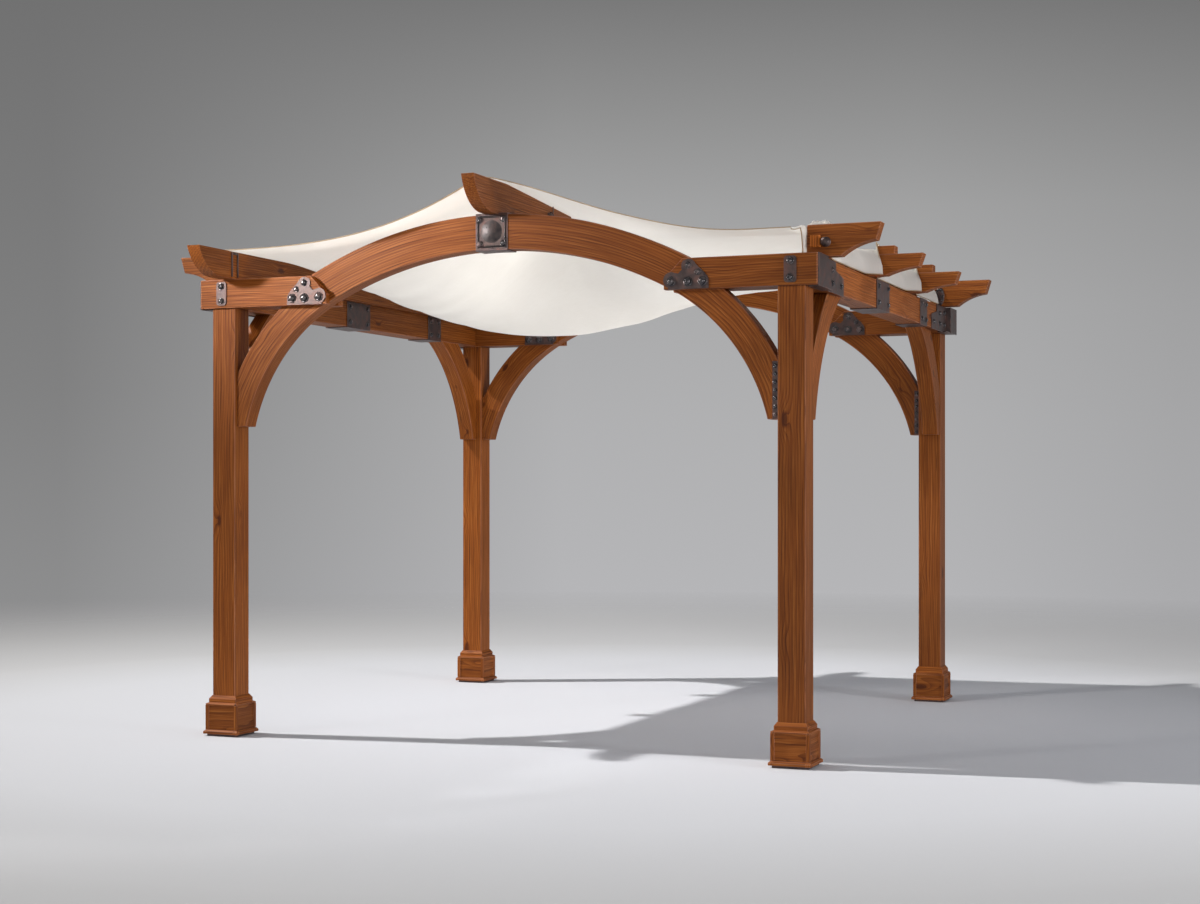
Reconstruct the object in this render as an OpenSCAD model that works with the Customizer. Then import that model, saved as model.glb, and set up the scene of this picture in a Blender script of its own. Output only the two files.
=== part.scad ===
// Open garden gazebo: posts on boxed plinths, bridle-jointed arches, bracketed side beams and a cloth canopy.
// Millimetres, +Z up, +X to the right, +Y to the back, origin on the ground at the middle of the footprint.

/* [Posts] */
// Distance between post centres, left to right
span_x = 3186; // [2900:1:3600]
// Distance between post centres, front to back
span_y = 3084; // [2800:1:3600]
// Side of a square post
post_w = 140; // [120:1:160]
// Height from the ground to the underside of the beams
clear_h = 2315; // [2250:1:2450]

/* [Plinths] */
// Thickness of the pad under each post
pad_h = 12; // [8:1:20]
// Distance of the pad's edges inside the faces of the plinth box
pad_in = 6; // [3:1:13]
// Height of the shoe moulding
shoe_h = 22; // [16:1:30]
// Reach of the shoe moulding past the faces of the plinth box
shoe_out = 10; // [5:1:17]
// Height of the plinth box
box_h = 135; // [110:1:200]
// Thickness of the plinth box round the post
box_wall = 28; // [24:1:36]
// Width of the corner boards beside each plinth panel
box_rail = 18; // [14:1:30]
// Depth of the plinth panels behind their corner boards
panel_depth = 7; // [4:1:10]
// Height of the cap moulding
cap_h = 50; // [40:1:70]
// Thickness of the cap moulding round the post
cap_wall = 15; // [10:1:20]

/* [Beams] */
// Height of all beams
beam_h = 153; // [130:1:180]
// Thickness of the front and rear beams
beam_t = 180; // [170:1:200]
// Thickness of the side beams
side_t = 140; // [120:1:180]
// Reach of the front and rear beams past the outer faces of the posts
beam_over = 64; // [40:1:80]
// Reach of the slotted beam ends past the inner curve of the arch
beam_lap = 33; // [20:1:60]
// Height of the plain part of the slotted ends, below their sloping trim
trim_h = 54; // [40:1:70]
// Distance of the side beams' outer faces inside the ends of the front and rear beams
side_set = 32; // [20:1:40]

/* [Arches] */
// Inner radius of the arches
arch_r = 2066; // [2040:1:2090]
// Rise of the arch apex above the underside of the beams
arch_rise = 248; // [235:1:265]
// Depth of the arches, inner to outer curve
arch_depth = 180; // [170:1:190]
// Thickness of the arches and of the braces
arch_t = 100; // [90:1:110]
// Inner radius of the braces
brace_r = 1000; // [950:1:1100]
// Depth of the braces, inner to outer curve
brace_depth = 150; // [130:1:165]
// Drop of the brace feet below the underside of the beams
brace_drop = 640; // [600:1:715]
// Width of the brace feet
brace_foot_w = 57; // [45:1:70]
// Distance of the side braces inside the outer faces of the posts
side_brace_set = 5; // [2:1:20]

/* [Roof timbers] */
// Width of the ridge tails and purlins
ridge_w = 75; // [60:1:85]
// Height of the ridge tails
ridge_h = 168; // [150:1:185]
// Reach of the ridge tails beyond the post centres
ridge_out = 338; // [300:1:380]
// Length of each ridge tail
ridge_len = 1250; // [800:1:1300]
// Height of the tapered inner ends of the ridge tails
ridge_end_h = 110; // [20:1:140]
// Radius of the ridge noses
ridge_nose_r = 230; // [200:1:260]
// Distance of the purlin centres inside the post centres
purlin_in = 43; // [30:1:55]
// Height of the purlins
purlin_h = 147; // [125:1:160]
// Reach of the left purlin beyond the post centres
purlin_out = 426; // [380:1:480]
// Distance of the right purlin's ends inside the ends of the side beams
purlin_set = 300; // [0:1:400]
// Radius of the purlin noses
purlin_nose_r = 230; // [170:1:250]
// Thickness of the side tails
tail_t = 70; // [60:1:80]
// Length of the side tails that lies on the side beams
tail_seat = 75; // [50:1:90]
// Length of the side tails
tail_len = 370; // [340:1:400]
// Length of the cove under each side tail
cove_len = 200; // [160:1:230]
// Height of the corner tails
corner_tail_h = 157; // [140:1:170]
// Height of the tip of the corner tails
corner_tip_h = 85; // [70:1:100]
// Slope of the tips of the side tails
tail_slant = 26; // [0:1:40]
// Distance of the corner tails inside the ends of the side beams
corner_tail_set = 52; // [42:1:90]
// Height of the middle tails
mid_tail_h = 112; // [100:1:120]
// Height of the tip of the middle tails
mid_tip_h = 72; // [60:1:85]
// Distance of the middle tails from the middle, front to back
mid_tail_y = 470; // [420:1:520]
// Length of the clamp blocks on the middle tails
clamp_len = 97; // [80:1:130]
// Distance of the clamp blocks from the inner ends of the middle tails
clamp_set = 120; // [60:1:150]
// Height of the clamp blocks on the middle tails
clamp_h = 45; // [35:1:55]

/* [Ironwork] */
// Thickness of all plates
plate_t = 6; // [4:1:8]
// Width of the saddles at the arch apexes
saddle_w = 180; // [150:1:220]
// Width of the gussets over the slotted beam ends
gusset_w = 233; // [210:1:250]
// Distance of the gusset peak from the slotted end
gusset_peak = 128; // [110:1:140]
// Width of the strap plates over the posts
strap_w = 62; // [50:1:80]
// Height of the strap plates over the posts
strap_h = 128; // [110:1:128]
// Corner radius of the strap plates
strap_r = 16; // [8:1:24]
// Reach of the corner brackets along the side beams
bracket_len = 410; // [340:1:440]
// Reach of the corner brackets under the front and rear beams
bracket_under = 140; // [100:1:170]
// Width of the outer straps around the side beams
side_strap_w = 180; // [120:1:200]
// Width of the middle straps around the side beams
mid_strap_w = 283; // [140:1:300]
// Place of the middle straps along the side beams
mid_strap_y = -197; // [-250:1:100]
// Distance of the outer side straps from the tops of the side braces
side_strap_gap = 20; // [10:1:60]
// Width of the edge plates at the brace feet
foot_plate_w = 30; // [20:1:40]
// Height of the edge plates at the brace feet
foot_plate_h = 280; // [200:1:290]

/* [Canopy] */
// Thickness of the canopy cloth with its hems
cloth_t = 6; // [3:1:10]
// Reach of the front and rear hems beyond the post centres
hem_out = 158; // [120:1:220]
// Drop of the canopy belly below the underside of the beams
belly_drop = 65; // [20:1:110]
// Place of the belly's lowest point along X
belly_x = -300; // [-500:1:500]
// Place of the belly's lowest point along Y
belly_y = 50; // [-200:1:200]
// Gap between the canopy and the timbers that it lies on
cloth_gap = 0.3; // [0.1:0.1:1]
// Steps of the canopy surface on each side of the ridge
cloth_steps = 9; // [6:1:14]

/* [Hidden] */
$fn = 400;
left = -1;
right = 1;
front = -1;
rear = 1;
wood = "#a8652f";
wood_pale = "#b9763c";
iron = "#4b4248";
cloth = "#f2eee6";

beam_top = clear_h + beam_h;
post_x = span_x / 2;
post_y = span_y / 2;
post_face_x = post_x - post_w / 2;
post_face_y = post_y - post_w / 2;
beam_end = post_x + post_w / 2 + beam_over;
side_out = beam_end - side_set;
side_in = side_out - side_t;
side_y = post_y - beam_t / 2;
apex_h = clear_h + arch_rise;
arch_cz = apex_h - arch_r;
arch_out_r = arch_r + arch_depth;
arch_top = apex_h + arch_depth;
arch_foot_x = sqrt(pow(arch_r, 2) - pow(clear_h - arch_cz, 2));
beam_in = arch_foot_x - beam_lap;

// Brace arc in a plane measured from the post's inner face: through the arch's foot and the brace's foot
brace_run = post_face_x - arch_foot_x;
brace_foot_z = clear_h - brace_drop;
chord_du = brace_foot_w - brace_run;
chord = sqrt(pow(chord_du, 2) + pow(brace_drop, 2));
chord_off = sqrt(pow(brace_r, 2) - pow(chord / 2, 2));
brace_cu = (brace_run + brace_foot_w) / 2 + chord_off * brace_drop / chord;
brace_cz = (clear_h + brace_foot_z) / 2 + chord_off * chord_du / chord;

gusset_lobe = beam_h / 5;

// Shares of a moulding's height and of the corner bracket's leg
cap_lip_share = 0.24;
cap_slope_share = 0.62;
shoe_slope_share = 0.6;
bracket_step_share = 0.36;
bracket_shoulder_share = 0.72;
bracket_toe_share = 0.55;
cap_reveal = 2;

purlin_x = post_x - purlin_in;
purlin_in_x = purlin_x - ridge_w / 2;
purlin_out_x = purlin_x + ridge_w / 2;
ridge_y = post_y + ridge_out;
ridge_in_y = ridge_y - ridge_len;
ridge_top = arch_top + ridge_h;
purlin_top = beam_top + purlin_h;
box_w = post_w + 2 * box_wall;
pad_w = box_w - 2 * pad_in;
shoe_w = box_w + 2 * shoe_out;
cap_w = post_w + 2 * cap_wall;
box_z = pad_h + shoe_h;
cap_z = box_z + box_h;
tail_in = side_out - tail_seat;
corner_tail_y = side_y - corner_tail_set;
side_strap_y = post_face_y - brace_run - side_strap_gap - side_strap_w / 2;

// Canopy surface values
cloth_ridge_z = ridge_top + cloth_gap;
cloth_eave_z = purlin_top + cloth_gap;
cloth_tail_gap = 10;
cloth_side_gap = 3;
cloth_edge_x = tail_in - cloth_tail_gap;
hem_y = post_y + hem_out;
belly_z = clear_h - belly_drop;
cloth_ridge_x = ridge_w / 2 + cloth_side_gap;
hem_run = purlin_in_x - cloth_ridge_x;
hem_power = 2.1;
belly_power = 2.4;
belly_front_y = post_y - beam_t / 3;
crease_w = 450;

// Places a piece that is drawn for the right rear corner at any corner
module corner(sx, sy) {
    mirror([sx < 0 ? 1 : 0, 0, 0])
        mirror([0, sy < 0 ? 1 : 0, 0])
            children();
}

module each_corner() {
    for (sx = [left, right])
        for (sy = [front, rear])
            corner(sx, sy) children();
}

// Extrudes an outline drawn in X and Z, centred on a place along Y
module upright_x(y, t) {
    translate([0, y, 0])
        rotate([90, 0, 0])
            linear_extrude(height = t, center = true)
                children();
}

// Extrudes an outline drawn in Y and Z, centred on a place along X
module upright_y(x, t) {
    translate([x, 0, 0])
        rotate([90, 0, 90])
            linear_extrude(height = t, center = true)
                children();
}

module box(low, high) {
    translate(low) cube(high - low);
}

module ring_2d(r_in, r_out) {
    difference() {
        circle(r_out);
        circle(r_in);
    }
}

module rounded_2d(w, h, r) {
    square([w - 2 * r, h], center = true);
    square([w, h - 2 * r], center = true);
    for (sx = [-1, 1])
        for (sy = [-1, 1])
            translate([sx * (w / 2 - r), sy * (h / 2 - r)]) circle(r);
}

// Square moulding round a post, from its half outline in width and height
module moulding(outline, w) {
    translate([post_x, post_y, 0])
        difference() {
            intersection() {
                upright_x(0, w) outline_both(outline);
                upright_y(0, w) outline_both(outline);
            }
            box([-post_w / 2, -post_w / 2, 0], [post_w / 2, post_w / 2, clear_h]);
        }
}

module outline_both(outline) {
    polygon(outline);
    mirror([1, 0]) polygon(outline);
}

module post(sx, sy) {
    color(wood)
        corner(sx, sy)
            translate([post_x - post_w / 2, post_y - post_w / 2, pad_h])
                cube([post_w, post_w, clear_h - pad_h]);
}

module plinth(sx, sy) {
    panel_w = box_w - 2 * box_rail;
    color(wood)
        corner(sx, sy)
            translate([post_x, post_y, box_z])
                difference() {
                    box([-box_w / 2, -box_w / 2, 0], [box_w / 2, box_w / 2, box_h]);
                    box([-post_w / 2, -post_w / 2, -1], [post_w / 2, post_w / 2, box_h + 1]);
                    for (turn = [0, 90, 180, 270])
                        rotate([0, 0, turn])
                            translate([-panel_w / 2, box_w / 2 - panel_depth, -1])
                                cube([panel_w, panel_depth + 1, box_h + 2]);
                }
}

module plinth_caps() {
    lip = cap_h * cap_lip_share;
    slope_z = cap_z + cap_h * cap_slope_share;
    outline = [[0, cap_z], [box_w / 2, cap_z], [box_w / 2, cap_z + lip / 2], [cap_w / 2, cap_z + lip],
               [cap_w / 2, slope_z], [post_w / 2 + cap_reveal, cap_z + cap_h], [0, cap_z + cap_h]];
    color(wood_pale) each_corner() moulding(outline, box_w);
}

module plinth_shoes() {
    outline = [[0, pad_h], [shoe_w / 2, pad_h], [shoe_w / 2, pad_h + shoe_h * shoe_slope_share],
               [box_w / 2, pad_h + shoe_h], [0, pad_h + shoe_h]];
    color(wood_pale) each_corner() moulding(outline, shoe_w);
}

module post_pads() {
    color(iron)
        each_corner()
            translate([post_x - pad_w / 2, post_y - pad_w / 2, 0])
                cube([pad_w, pad_w, pad_h]);
}

module arch_circle_2d(r) {
    translate([0, arch_cz]) circle(r);
}

// Front or rear beam with the bridle slot that takes the arch
module end_beam(sx, sy) {
    color(wood)
        corner(sx, sy)
            difference() {
                box([beam_in, post_y - beam_t / 2, clear_h], [beam_end, post_y + beam_t / 2, beam_top]);
                upright_x(post_y, arch_t) arch_circle_2d(arch_out_r);
                upright_x(post_y, beam_t + 2) end_trim_2d();
            }
}

// Sloping trim above the slotted end, behind the gusset's inner edge
module end_trim_2d() {
    translate([beam_in, clear_h])
        polygon([[-1, trim_h], [gusset_peak - gusset_lobe, beam_h + 1], [-1, beam_h + 1]]);
}

module arch_half(sx, sy) {
    color(wood)
        corner(sx, sy)
            upright_x(post_y, arch_t)
                intersection() {
                    translate([0, arch_cz]) ring_2d(arch_r, arch_out_r);
                    translate([0, clear_h]) square([beam_end, arch_top]);
                }
}

// Curved brace outline: across from the post's inner face, and up
module brace_2d() {
    intersection() {
        translate([brace_cu, brace_cz]) ring_2d(brace_r, brace_r + brace_depth);
        translate([0, brace_foot_z]) square([brace_cu, brace_drop]);
    }
}

module end_brace(sx, sy) {
    color(wood)
        corner(sx, sy)
            upright_x(post_y, arch_t)
                translate([post_face_x, 0]) mirror([1, 0]) brace_2d();
}

module side_brace(sx, sy) {
    color(wood)
        corner(sx, sy)
            upright_y(post_x + post_w / 2 - side_brace_set - arch_t / 2, arch_t)
                translate([post_face_y, 0]) mirror([1, 0]) brace_2d();
}

module side_beam(sx) {
    color(wood)
        corner(sx, rear)
            box([side_in, -side_y, clear_h], [side_out, side_y, beam_top]);
}

// Bar with a rounded boat nose at its far end: along, and up
module nosed_2d(inner, tip, low, high, nose_r) {
    nose_c = tip - sqrt(pow(nose_r, 2) - pow(nose_r - (high - low), 2));
    intersection() {
        translate([inner, low]) square([tip - inner, high - low]);
        union() {
            translate([nose_c, low + nose_r]) circle(nose_r);
            translate([inner, low]) square([nose_c - inner, high - low]);
        }
    }
}

// Ridge tail: a boat nose outside, and a top that tapers down to the inner end
module ridge_tail(sy) {
    taper = (ridge_h - ridge_end_h) / (belly_front_y - ridge_in_y);
    color(wood)
        corner(right, sy)
            upright_y(0, ridge_w)
                difference() {
                    nosed_2d(ridge_in_y, ridge_y, arch_top, ridge_top, ridge_nose_r);
                    polygon([[ridge_in_y - 1, ridge_top - ridge_h + ridge_end_h - taper],
                             [belly_front_y + 1 / taper, ridge_top + 1], [ridge_in_y - 1, ridge_top + 1]]);
                }
}

module left_purlin() {
    color(wood)
        mirror([1, 0, 0])
            upright_y(purlin_x, ridge_w) {
                nosed_2d(-post_y, post_y + purlin_out, beam_top, purlin_top, purlin_nose_r);
                mirror([1, 0]) nosed_2d(-post_y, post_y + purlin_out, beam_top, purlin_top, purlin_nose_r);
            }
}

module right_purlin() {
    color(wood)
        box([purlin_in_x, purlin_set - side_y, beam_top], [purlin_out_x, side_y - purlin_set, purlin_top]);
}

// Short outrigger with a cove cut up to its tip
module tail(y, h, tip_h) {
    tip = tail_in + tail_len;
    rise = h - tip_h;
    cove_r = (pow(cove_len, 2) + pow(rise, 2)) / (2 * rise);
    upright_x(y, tail_t)
        difference() {
            translate([tail_in, beam_top]) square([tail_len, h]);
            translate([tip, beam_top + rise - cove_r]) circle(cove_r);
            polygon([[tip, beam_top + h], [tip + h, beam_top], [tip - tail_slant * h / tip_h, beam_top]]);
        }
}

module tails(sx, y, h, tip_h) {
    color(wood)
        corner(sx, rear) {
            tail(y, h, tip_h);
            tail(-y, h, tip_h);
        }
}

module clamp_blocks() {
    low_z = beam_top + mid_tail_h;
    color(wood_pale)
        each_corner()
            box([tail_in + clamp_set, mid_tail_y - tail_t / 2, low_z],
                [tail_in + clamp_set + clamp_len, mid_tail_y + tail_t / 2, low_z + clamp_h]);
}

// Saddle folded round the joint of the two arch halves, with ears beside the ridge tail
module apex_saddle(sy) {
    ear_in = ridge_w / 2 + 2;
    corner(right, sy)
        difference() {
            upright_x(post_y, arch_t + 2 * plate_t)
                intersection() {
                    translate([0, arch_cz])
                        union() {
                            ring_2d(arch_r - plate_t, arch_out_r);
                            difference() {
                                circle(arch_out_r + plate_t);
                                circle(arch_r);
                                translate([-ear_in, 0]) square([2 * ear_in, arch_top]);
                            }
                        }
                    translate([-saddle_w / 2, clear_h]) square([saddle_w, arch_top]);
                }
            upright_x(post_y, arch_t)
                translate([0, arch_cz]) ring_2d(arch_r, arch_out_r);
        }
}

module apex_saddles() {
    color(iron) {
        apex_saddle(front);
        apex_saddle(rear);
    }
}

// Lobed gusset outline, from the slotted beam end outwards and up
module gusset_2d() {
    w = gusset_w;
    h = beam_h;
    intersection() {
        square([w, h]);
        union() {
            polygon([[0.10 * w, 0], [w, 0], [w, 0.27 * h], [0.92 * w, 0.50 * h], [0.74 * w, 0.76 * h],
                     [0.66 * w, 0.88 * h], [0.44 * w, 0.92 * h], [0.40 * w, 0.80 * h], [0.46 * w, 0.70 * h],
                     [0.33 * w, 0.50 * h], [0.18 * w, 0.56 * h]]);
            translate([0.26 * h, 0.30 * h]) circle(0.26 * h);
            translate([w - 0.24 * h, 0.26 * h]) circle(0.24 * h);
            translate([0.56 * w, 0.72 * h]) circle(0.24 * h);
        }
    }
}

module beam_gussets() {
    color(iron)
        each_corner()
            for (y = [post_y - beam_t / 2 - plate_t / 2, post_y + beam_t / 2 + plate_t / 2])
                upright_x(y, plate_t)
                    translate([beam_in, clear_h]) gusset_2d();
}

module post_straps() {
    color(iron)
        each_corner()
            upright_x(post_y + beam_t / 2 + plate_t / 2, plate_t)
                translate([post_x, clear_h + beam_h / 2]) rounded_2d(strap_w, strap_h, strap_r);
}

// Corner bracket: stepped leg on the side beam, a fold out to the end of the front or rear beam, and a foot
module corner_bracket() {
    leg_y = side_y - bracket_len;
    step_y = leg_y + bracket_len * bracket_step_share;
    shoulder_z = clear_h + beam_h * bracket_shoulder_share;
    toe_z = clear_h + beam_h * bracket_toe_share;
    foot_z = clear_h - plate_t;
    fold_y = side_y - plate_t;
    beam_face_y = post_y + beam_t / 2 - plate_t;
    upright_y(side_out + plate_t / 2, plate_t)
        polygon([[side_y, foot_z], [side_y, beam_top], [step_y, beam_top],
                 [step_y, shoulder_z], [leg_y, toe_z], [leg_y, foot_z]]);
    box([side_out, fold_y, foot_z], [beam_end + plate_t, side_y, beam_top]);
    box([beam_end, fold_y, foot_z], [beam_end + plate_t, beam_face_y, beam_top]);
    box([post_x + post_w / 2 + plate_t, side_y - bracket_len / 4, foot_z],
        [beam_end, side_y + bracket_under, clear_h]);
}

module corner_brackets() {
    color(iron) each_corner() corner_bracket();
}

// Strap folded round the inner face, the underside and the outer face of a side beam
module side_strap(y, w) {
    difference() {
        box([side_in - plate_t, y - w / 2, clear_h - plate_t], [side_out + plate_t, y + w / 2, beam_top]);
        box([side_in, y - w, clear_h], [side_out, y + w, beam_top + 1]);
    }
}

module side_straps() {
    color(iron)
        for (sx = [left, right])
            corner(sx, rear) {
                side_strap(mid_strap_y, mid_strap_w);
                side_strap(side_strap_y, side_strap_w);
            }
}

module brace_foot_plates() {
    color(iron)
        for (sx = [left, right])
            for (sy = [front, rear])
                corner(sx, sy)
                    upright_x(post_y - sx * sy * (arch_t + plate_t) / 2, plate_t)
                        translate([post_face_x - foot_plate_w, brace_foot_z])
                            square([foot_plate_w, foot_plate_h]);
}

// Canopy surface: a hem that rises to the ridge, and a belly that hangs between the arches
function hem_z(x) = let (t = min(max(abs(x) - cloth_ridge_x, 0) / hem_run, 1))
    cloth_eave_z + (cloth_ridge_z - cloth_eave_z) * pow(1 - t, hem_power);
function ease(t) = t * t * (3 - 2 * t);
function mid_z(x) = let (t = min(abs(x - belly_x) / (purlin_in_x - belly_x * sign(x - belly_x)), 1))
    belly_z + (cloth_eave_z - belly_z) * (x < belly_x ? pow(t, belly_power) : ease(t));
function sag(start, y) =
    let (t = y < belly_y ? (start + y) / (start + belly_y) : (start - y) / (start - belly_y), u = max(t, 0))
        u * (2 - u);
function ease_on(a, m, u) = a + (1 - a) * u * u * (3 - 2 * u) + m * u * (1 - u) * (1 - u);
function ridge_sag(y) = let (run = belly_front_y - ridge_in_y, side = y < belly_y ? 1 : -1,
    len = ridge_in_y + side * belly_y, u = (ridge_in_y + side * y) / len)
    abs(y) < ridge_in_y ? ease_on(end_share, end_share * len / run, u)
    : end_share * max(belly_front_y - abs(y), 0) / run;
function crease(x) = let (t = max(abs(x) - cloth_ridge_x, 0) / crease_w) exp(-t * t);
function belly_share(x, y) = sag(belly_front_y, y) * (1 - crease(x)) + ridge_sag(y) * crease(x);
function cloth_z(x, y) = hem_z(x) + (min(mid_z(x), hem_z(x)) - hem_z(x)) * belly_share(x, y);

end_share = (ridge_h - ridge_end_h) / (cloth_ridge_z - min(mid_z(cloth_ridge_x), mid_z(-cloth_ridge_x)));
half_x = concat([for (i = [0:cloth_steps]) cloth_ridge_x + i * hem_run / cloth_steps],
                [purlin_out_x, cloth_edge_x]);
half_y = concat([for (i = [0:cloth_steps]) i * ridge_in_y / cloth_steps],
                [(ridge_in_y + belly_front_y) / 2, belly_front_y, hem_y]);
grid_x = concat([for (i = [len(half_x) - 1:-1:0]) -half_x[i]], half_x);
grid_y = concat([for (i = [len(half_y) - 1:-1:1]) -half_y[i]], half_y);

module canopy() {
    nx = len(grid_x);
    ny = len(grid_y);
    low = [for (y = grid_y) for (x = grid_x) [x, y, cloth_z(x, y)]];
    high = [for (p = low) [p[0], p[1], p[2] + cloth_t]];
    rim = concat([for (i = [0:nx - 2]) i], [for (j = [0:ny - 2]) j * nx + nx - 1],
                 [for (i = [nx - 1:-1:1]) (ny - 1) * nx + i], [for (j = [ny - 1:-1:1]) j * nx]);
    cells = [for (j = [0:ny - 2]) for (i = [0:nx - 2]) j * nx + i];
    under = [for (c = cells) each [[c, c + 1, c + nx + 1], [c, c + nx + 1, c + nx]]];
    over = [for (f = under) [f[2] + nx * ny, f[1] + nx * ny, f[0] + nx * ny]];
    edge = [for (k = [0:len(rim) - 1]) let (a = rim[k], b = rim[(k + 1) % len(rim)])
            each [[a, b + nx * ny, b], [a, a + nx * ny, b + nx * ny]]];
    color(cloth) polyhedron(points = concat(low, high), faces = concat(under, over, edge));
}

post(left, front);  // post_front_left
post(right, front);  // post_front_right
post(left, rear);  // post_rear_left
post(right, rear);  // post_rear_right
plinth(left, front);  // plinth_front_left
plinth(right, front);  // plinth_front_right
plinth(left, rear);  // plinth_rear_left
plinth(right, rear);  // plinth_rear_right
plinth_caps();
plinth_shoes();
post_pads();
end_beam(left, front);  // front_beam_left
end_beam(right, front);  // front_beam_right
end_beam(left, rear);  // rear_beam_left
end_beam(right, rear);  // rear_beam_right
arch_half(left, front);  // front_arch_left
arch_half(right, front);  // front_arch_right
arch_half(left, rear);  // rear_arch_left
arch_half(right, rear);  // rear_arch_right
end_brace(left, front);  // front_brace_left
end_brace(right, front);  // front_brace_right
end_brace(left, rear);  // rear_brace_left
end_brace(right, rear);  // rear_brace_right
side_beam(left);  // side_beam_left
side_beam(right);  // side_beam_right
side_brace(left, front);  // side_brace_front_left
side_brace(right, front);  // side_brace_front_right
side_brace(left, rear);  // side_brace_rear_left
side_brace(right, rear);  // side_brace_rear_right
ridge_tail(front);  // front_ridge_tail
ridge_tail(rear);  // rear_ridge_tail
left_purlin();
right_purlin();
tails(left, corner_tail_y, corner_tail_h, corner_tip_h);  // left_corner_tails
tails(right, corner_tail_y, corner_tail_h, corner_tip_h);  // right_corner_tails
tails(left, mid_tail_y, mid_tail_h, mid_tip_h);  // left_middle_tails
tails(right, mid_tail_y, mid_tail_h, mid_tip_h);  // right_middle_tails
clamp_blocks();
apex_saddles();
beam_gussets();
post_straps();
corner_brackets();
side_straps();
brace_foot_plates();
canopy();
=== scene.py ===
"""Open garden gazebo: timber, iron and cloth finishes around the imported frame, in metres."""
import math

import bpy
import numpy as np
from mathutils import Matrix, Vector


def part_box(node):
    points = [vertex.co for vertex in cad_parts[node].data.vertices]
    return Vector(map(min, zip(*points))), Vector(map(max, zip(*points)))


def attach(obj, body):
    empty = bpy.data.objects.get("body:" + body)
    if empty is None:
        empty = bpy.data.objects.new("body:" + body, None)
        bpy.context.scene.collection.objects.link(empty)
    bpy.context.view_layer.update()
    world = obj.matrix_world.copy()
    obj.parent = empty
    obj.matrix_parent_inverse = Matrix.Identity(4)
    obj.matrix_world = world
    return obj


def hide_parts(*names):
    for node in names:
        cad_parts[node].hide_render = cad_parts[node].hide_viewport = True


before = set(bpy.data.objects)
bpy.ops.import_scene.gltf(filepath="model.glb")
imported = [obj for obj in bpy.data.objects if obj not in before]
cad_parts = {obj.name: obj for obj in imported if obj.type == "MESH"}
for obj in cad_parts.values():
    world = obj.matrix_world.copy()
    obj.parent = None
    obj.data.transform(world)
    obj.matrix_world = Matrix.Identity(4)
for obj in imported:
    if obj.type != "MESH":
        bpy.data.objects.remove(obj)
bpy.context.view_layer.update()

LEFT, RIGHT = -1, 1
FRONT, REAR = -1, 1
CORNERS = [(sx, sy) for sx in (LEFT, RIGHT) for sy in (FRONT, REAR)]

# Sizes read from the frame
post_low, post_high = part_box("post_front_right")
beam_low, beam_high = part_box("front_beam_right")
side_low, side_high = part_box("side_beam_right")
arch_low, arch_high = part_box("front_arch_right")
ridge_low, ridge_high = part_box("front_ridge_tail")
purlin_low, purlin_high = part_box("right_purlin")
corner_low, corner_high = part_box("right_corner_tails")
strap_low, strap_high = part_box("side_straps")
foot_low, foot_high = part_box("brace_foot_plates")
middle_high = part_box("right_middle_tails")[1]
clamp_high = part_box("clamp_blocks")[1]
POST_X = (post_low.x + post_high.x) / 2
POST_Y = -(post_low.y + post_high.y) / 2
POST_W = post_high.x - post_low.x
CLEAR_Z = beam_low.z
BEAM_TOP = beam_high.z
BEAM_MID = (CLEAR_Z + BEAM_TOP) / 2
BEAM_T = beam_high.y - beam_low.y
ARCH_T = arch_high.y - arch_low.y
ARCH_TOP = arch_high.z
TAIL_HALF = 0.035  # half the thickness of the side tails, which share boxes
TAIL_IN = corner_low.x
CORNER_ROW = corner_high.y - TAIL_HALF
MIDDLE_ROW = middle_high.y - TAIL_HALF

# Sizes of the solids that their boxes don't give
ARCH_OUT_R = 2.246  # outer curve of the arches
ARCH_CZ = ARCH_TOP - ARCH_OUT_R
BRACE_REACH = 1.0295  # from a post's inner face to the centre of the brace's curves
BRACE_CX = POST_X - POST_W / 2 - BRACE_REACH
BRACE_CY = POST_Y - POST_W / 2 - BRACE_REACH
BRACE_CZ = 1.442  # height of that centre
PLATE_T = 0.006  # thickness of the iron plates
CORNER_BOARD = 0.0795  # from a plinth's middle to its corner boards
SADDLE_DROP = 0.090  # from the top of the arch to the middle of a saddle's face
SADDLE_Z = ARCH_TOP - SADDLE_DROP
MIDDLE_STRAP_HALF = 0.1415  # half widths along the side beams
OUTER_STRAP_HALF = 0.09
FOOT_PLATE_HALF = 0.015
CLAMP_LENGTH = 0.097


# Node graphs

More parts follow.
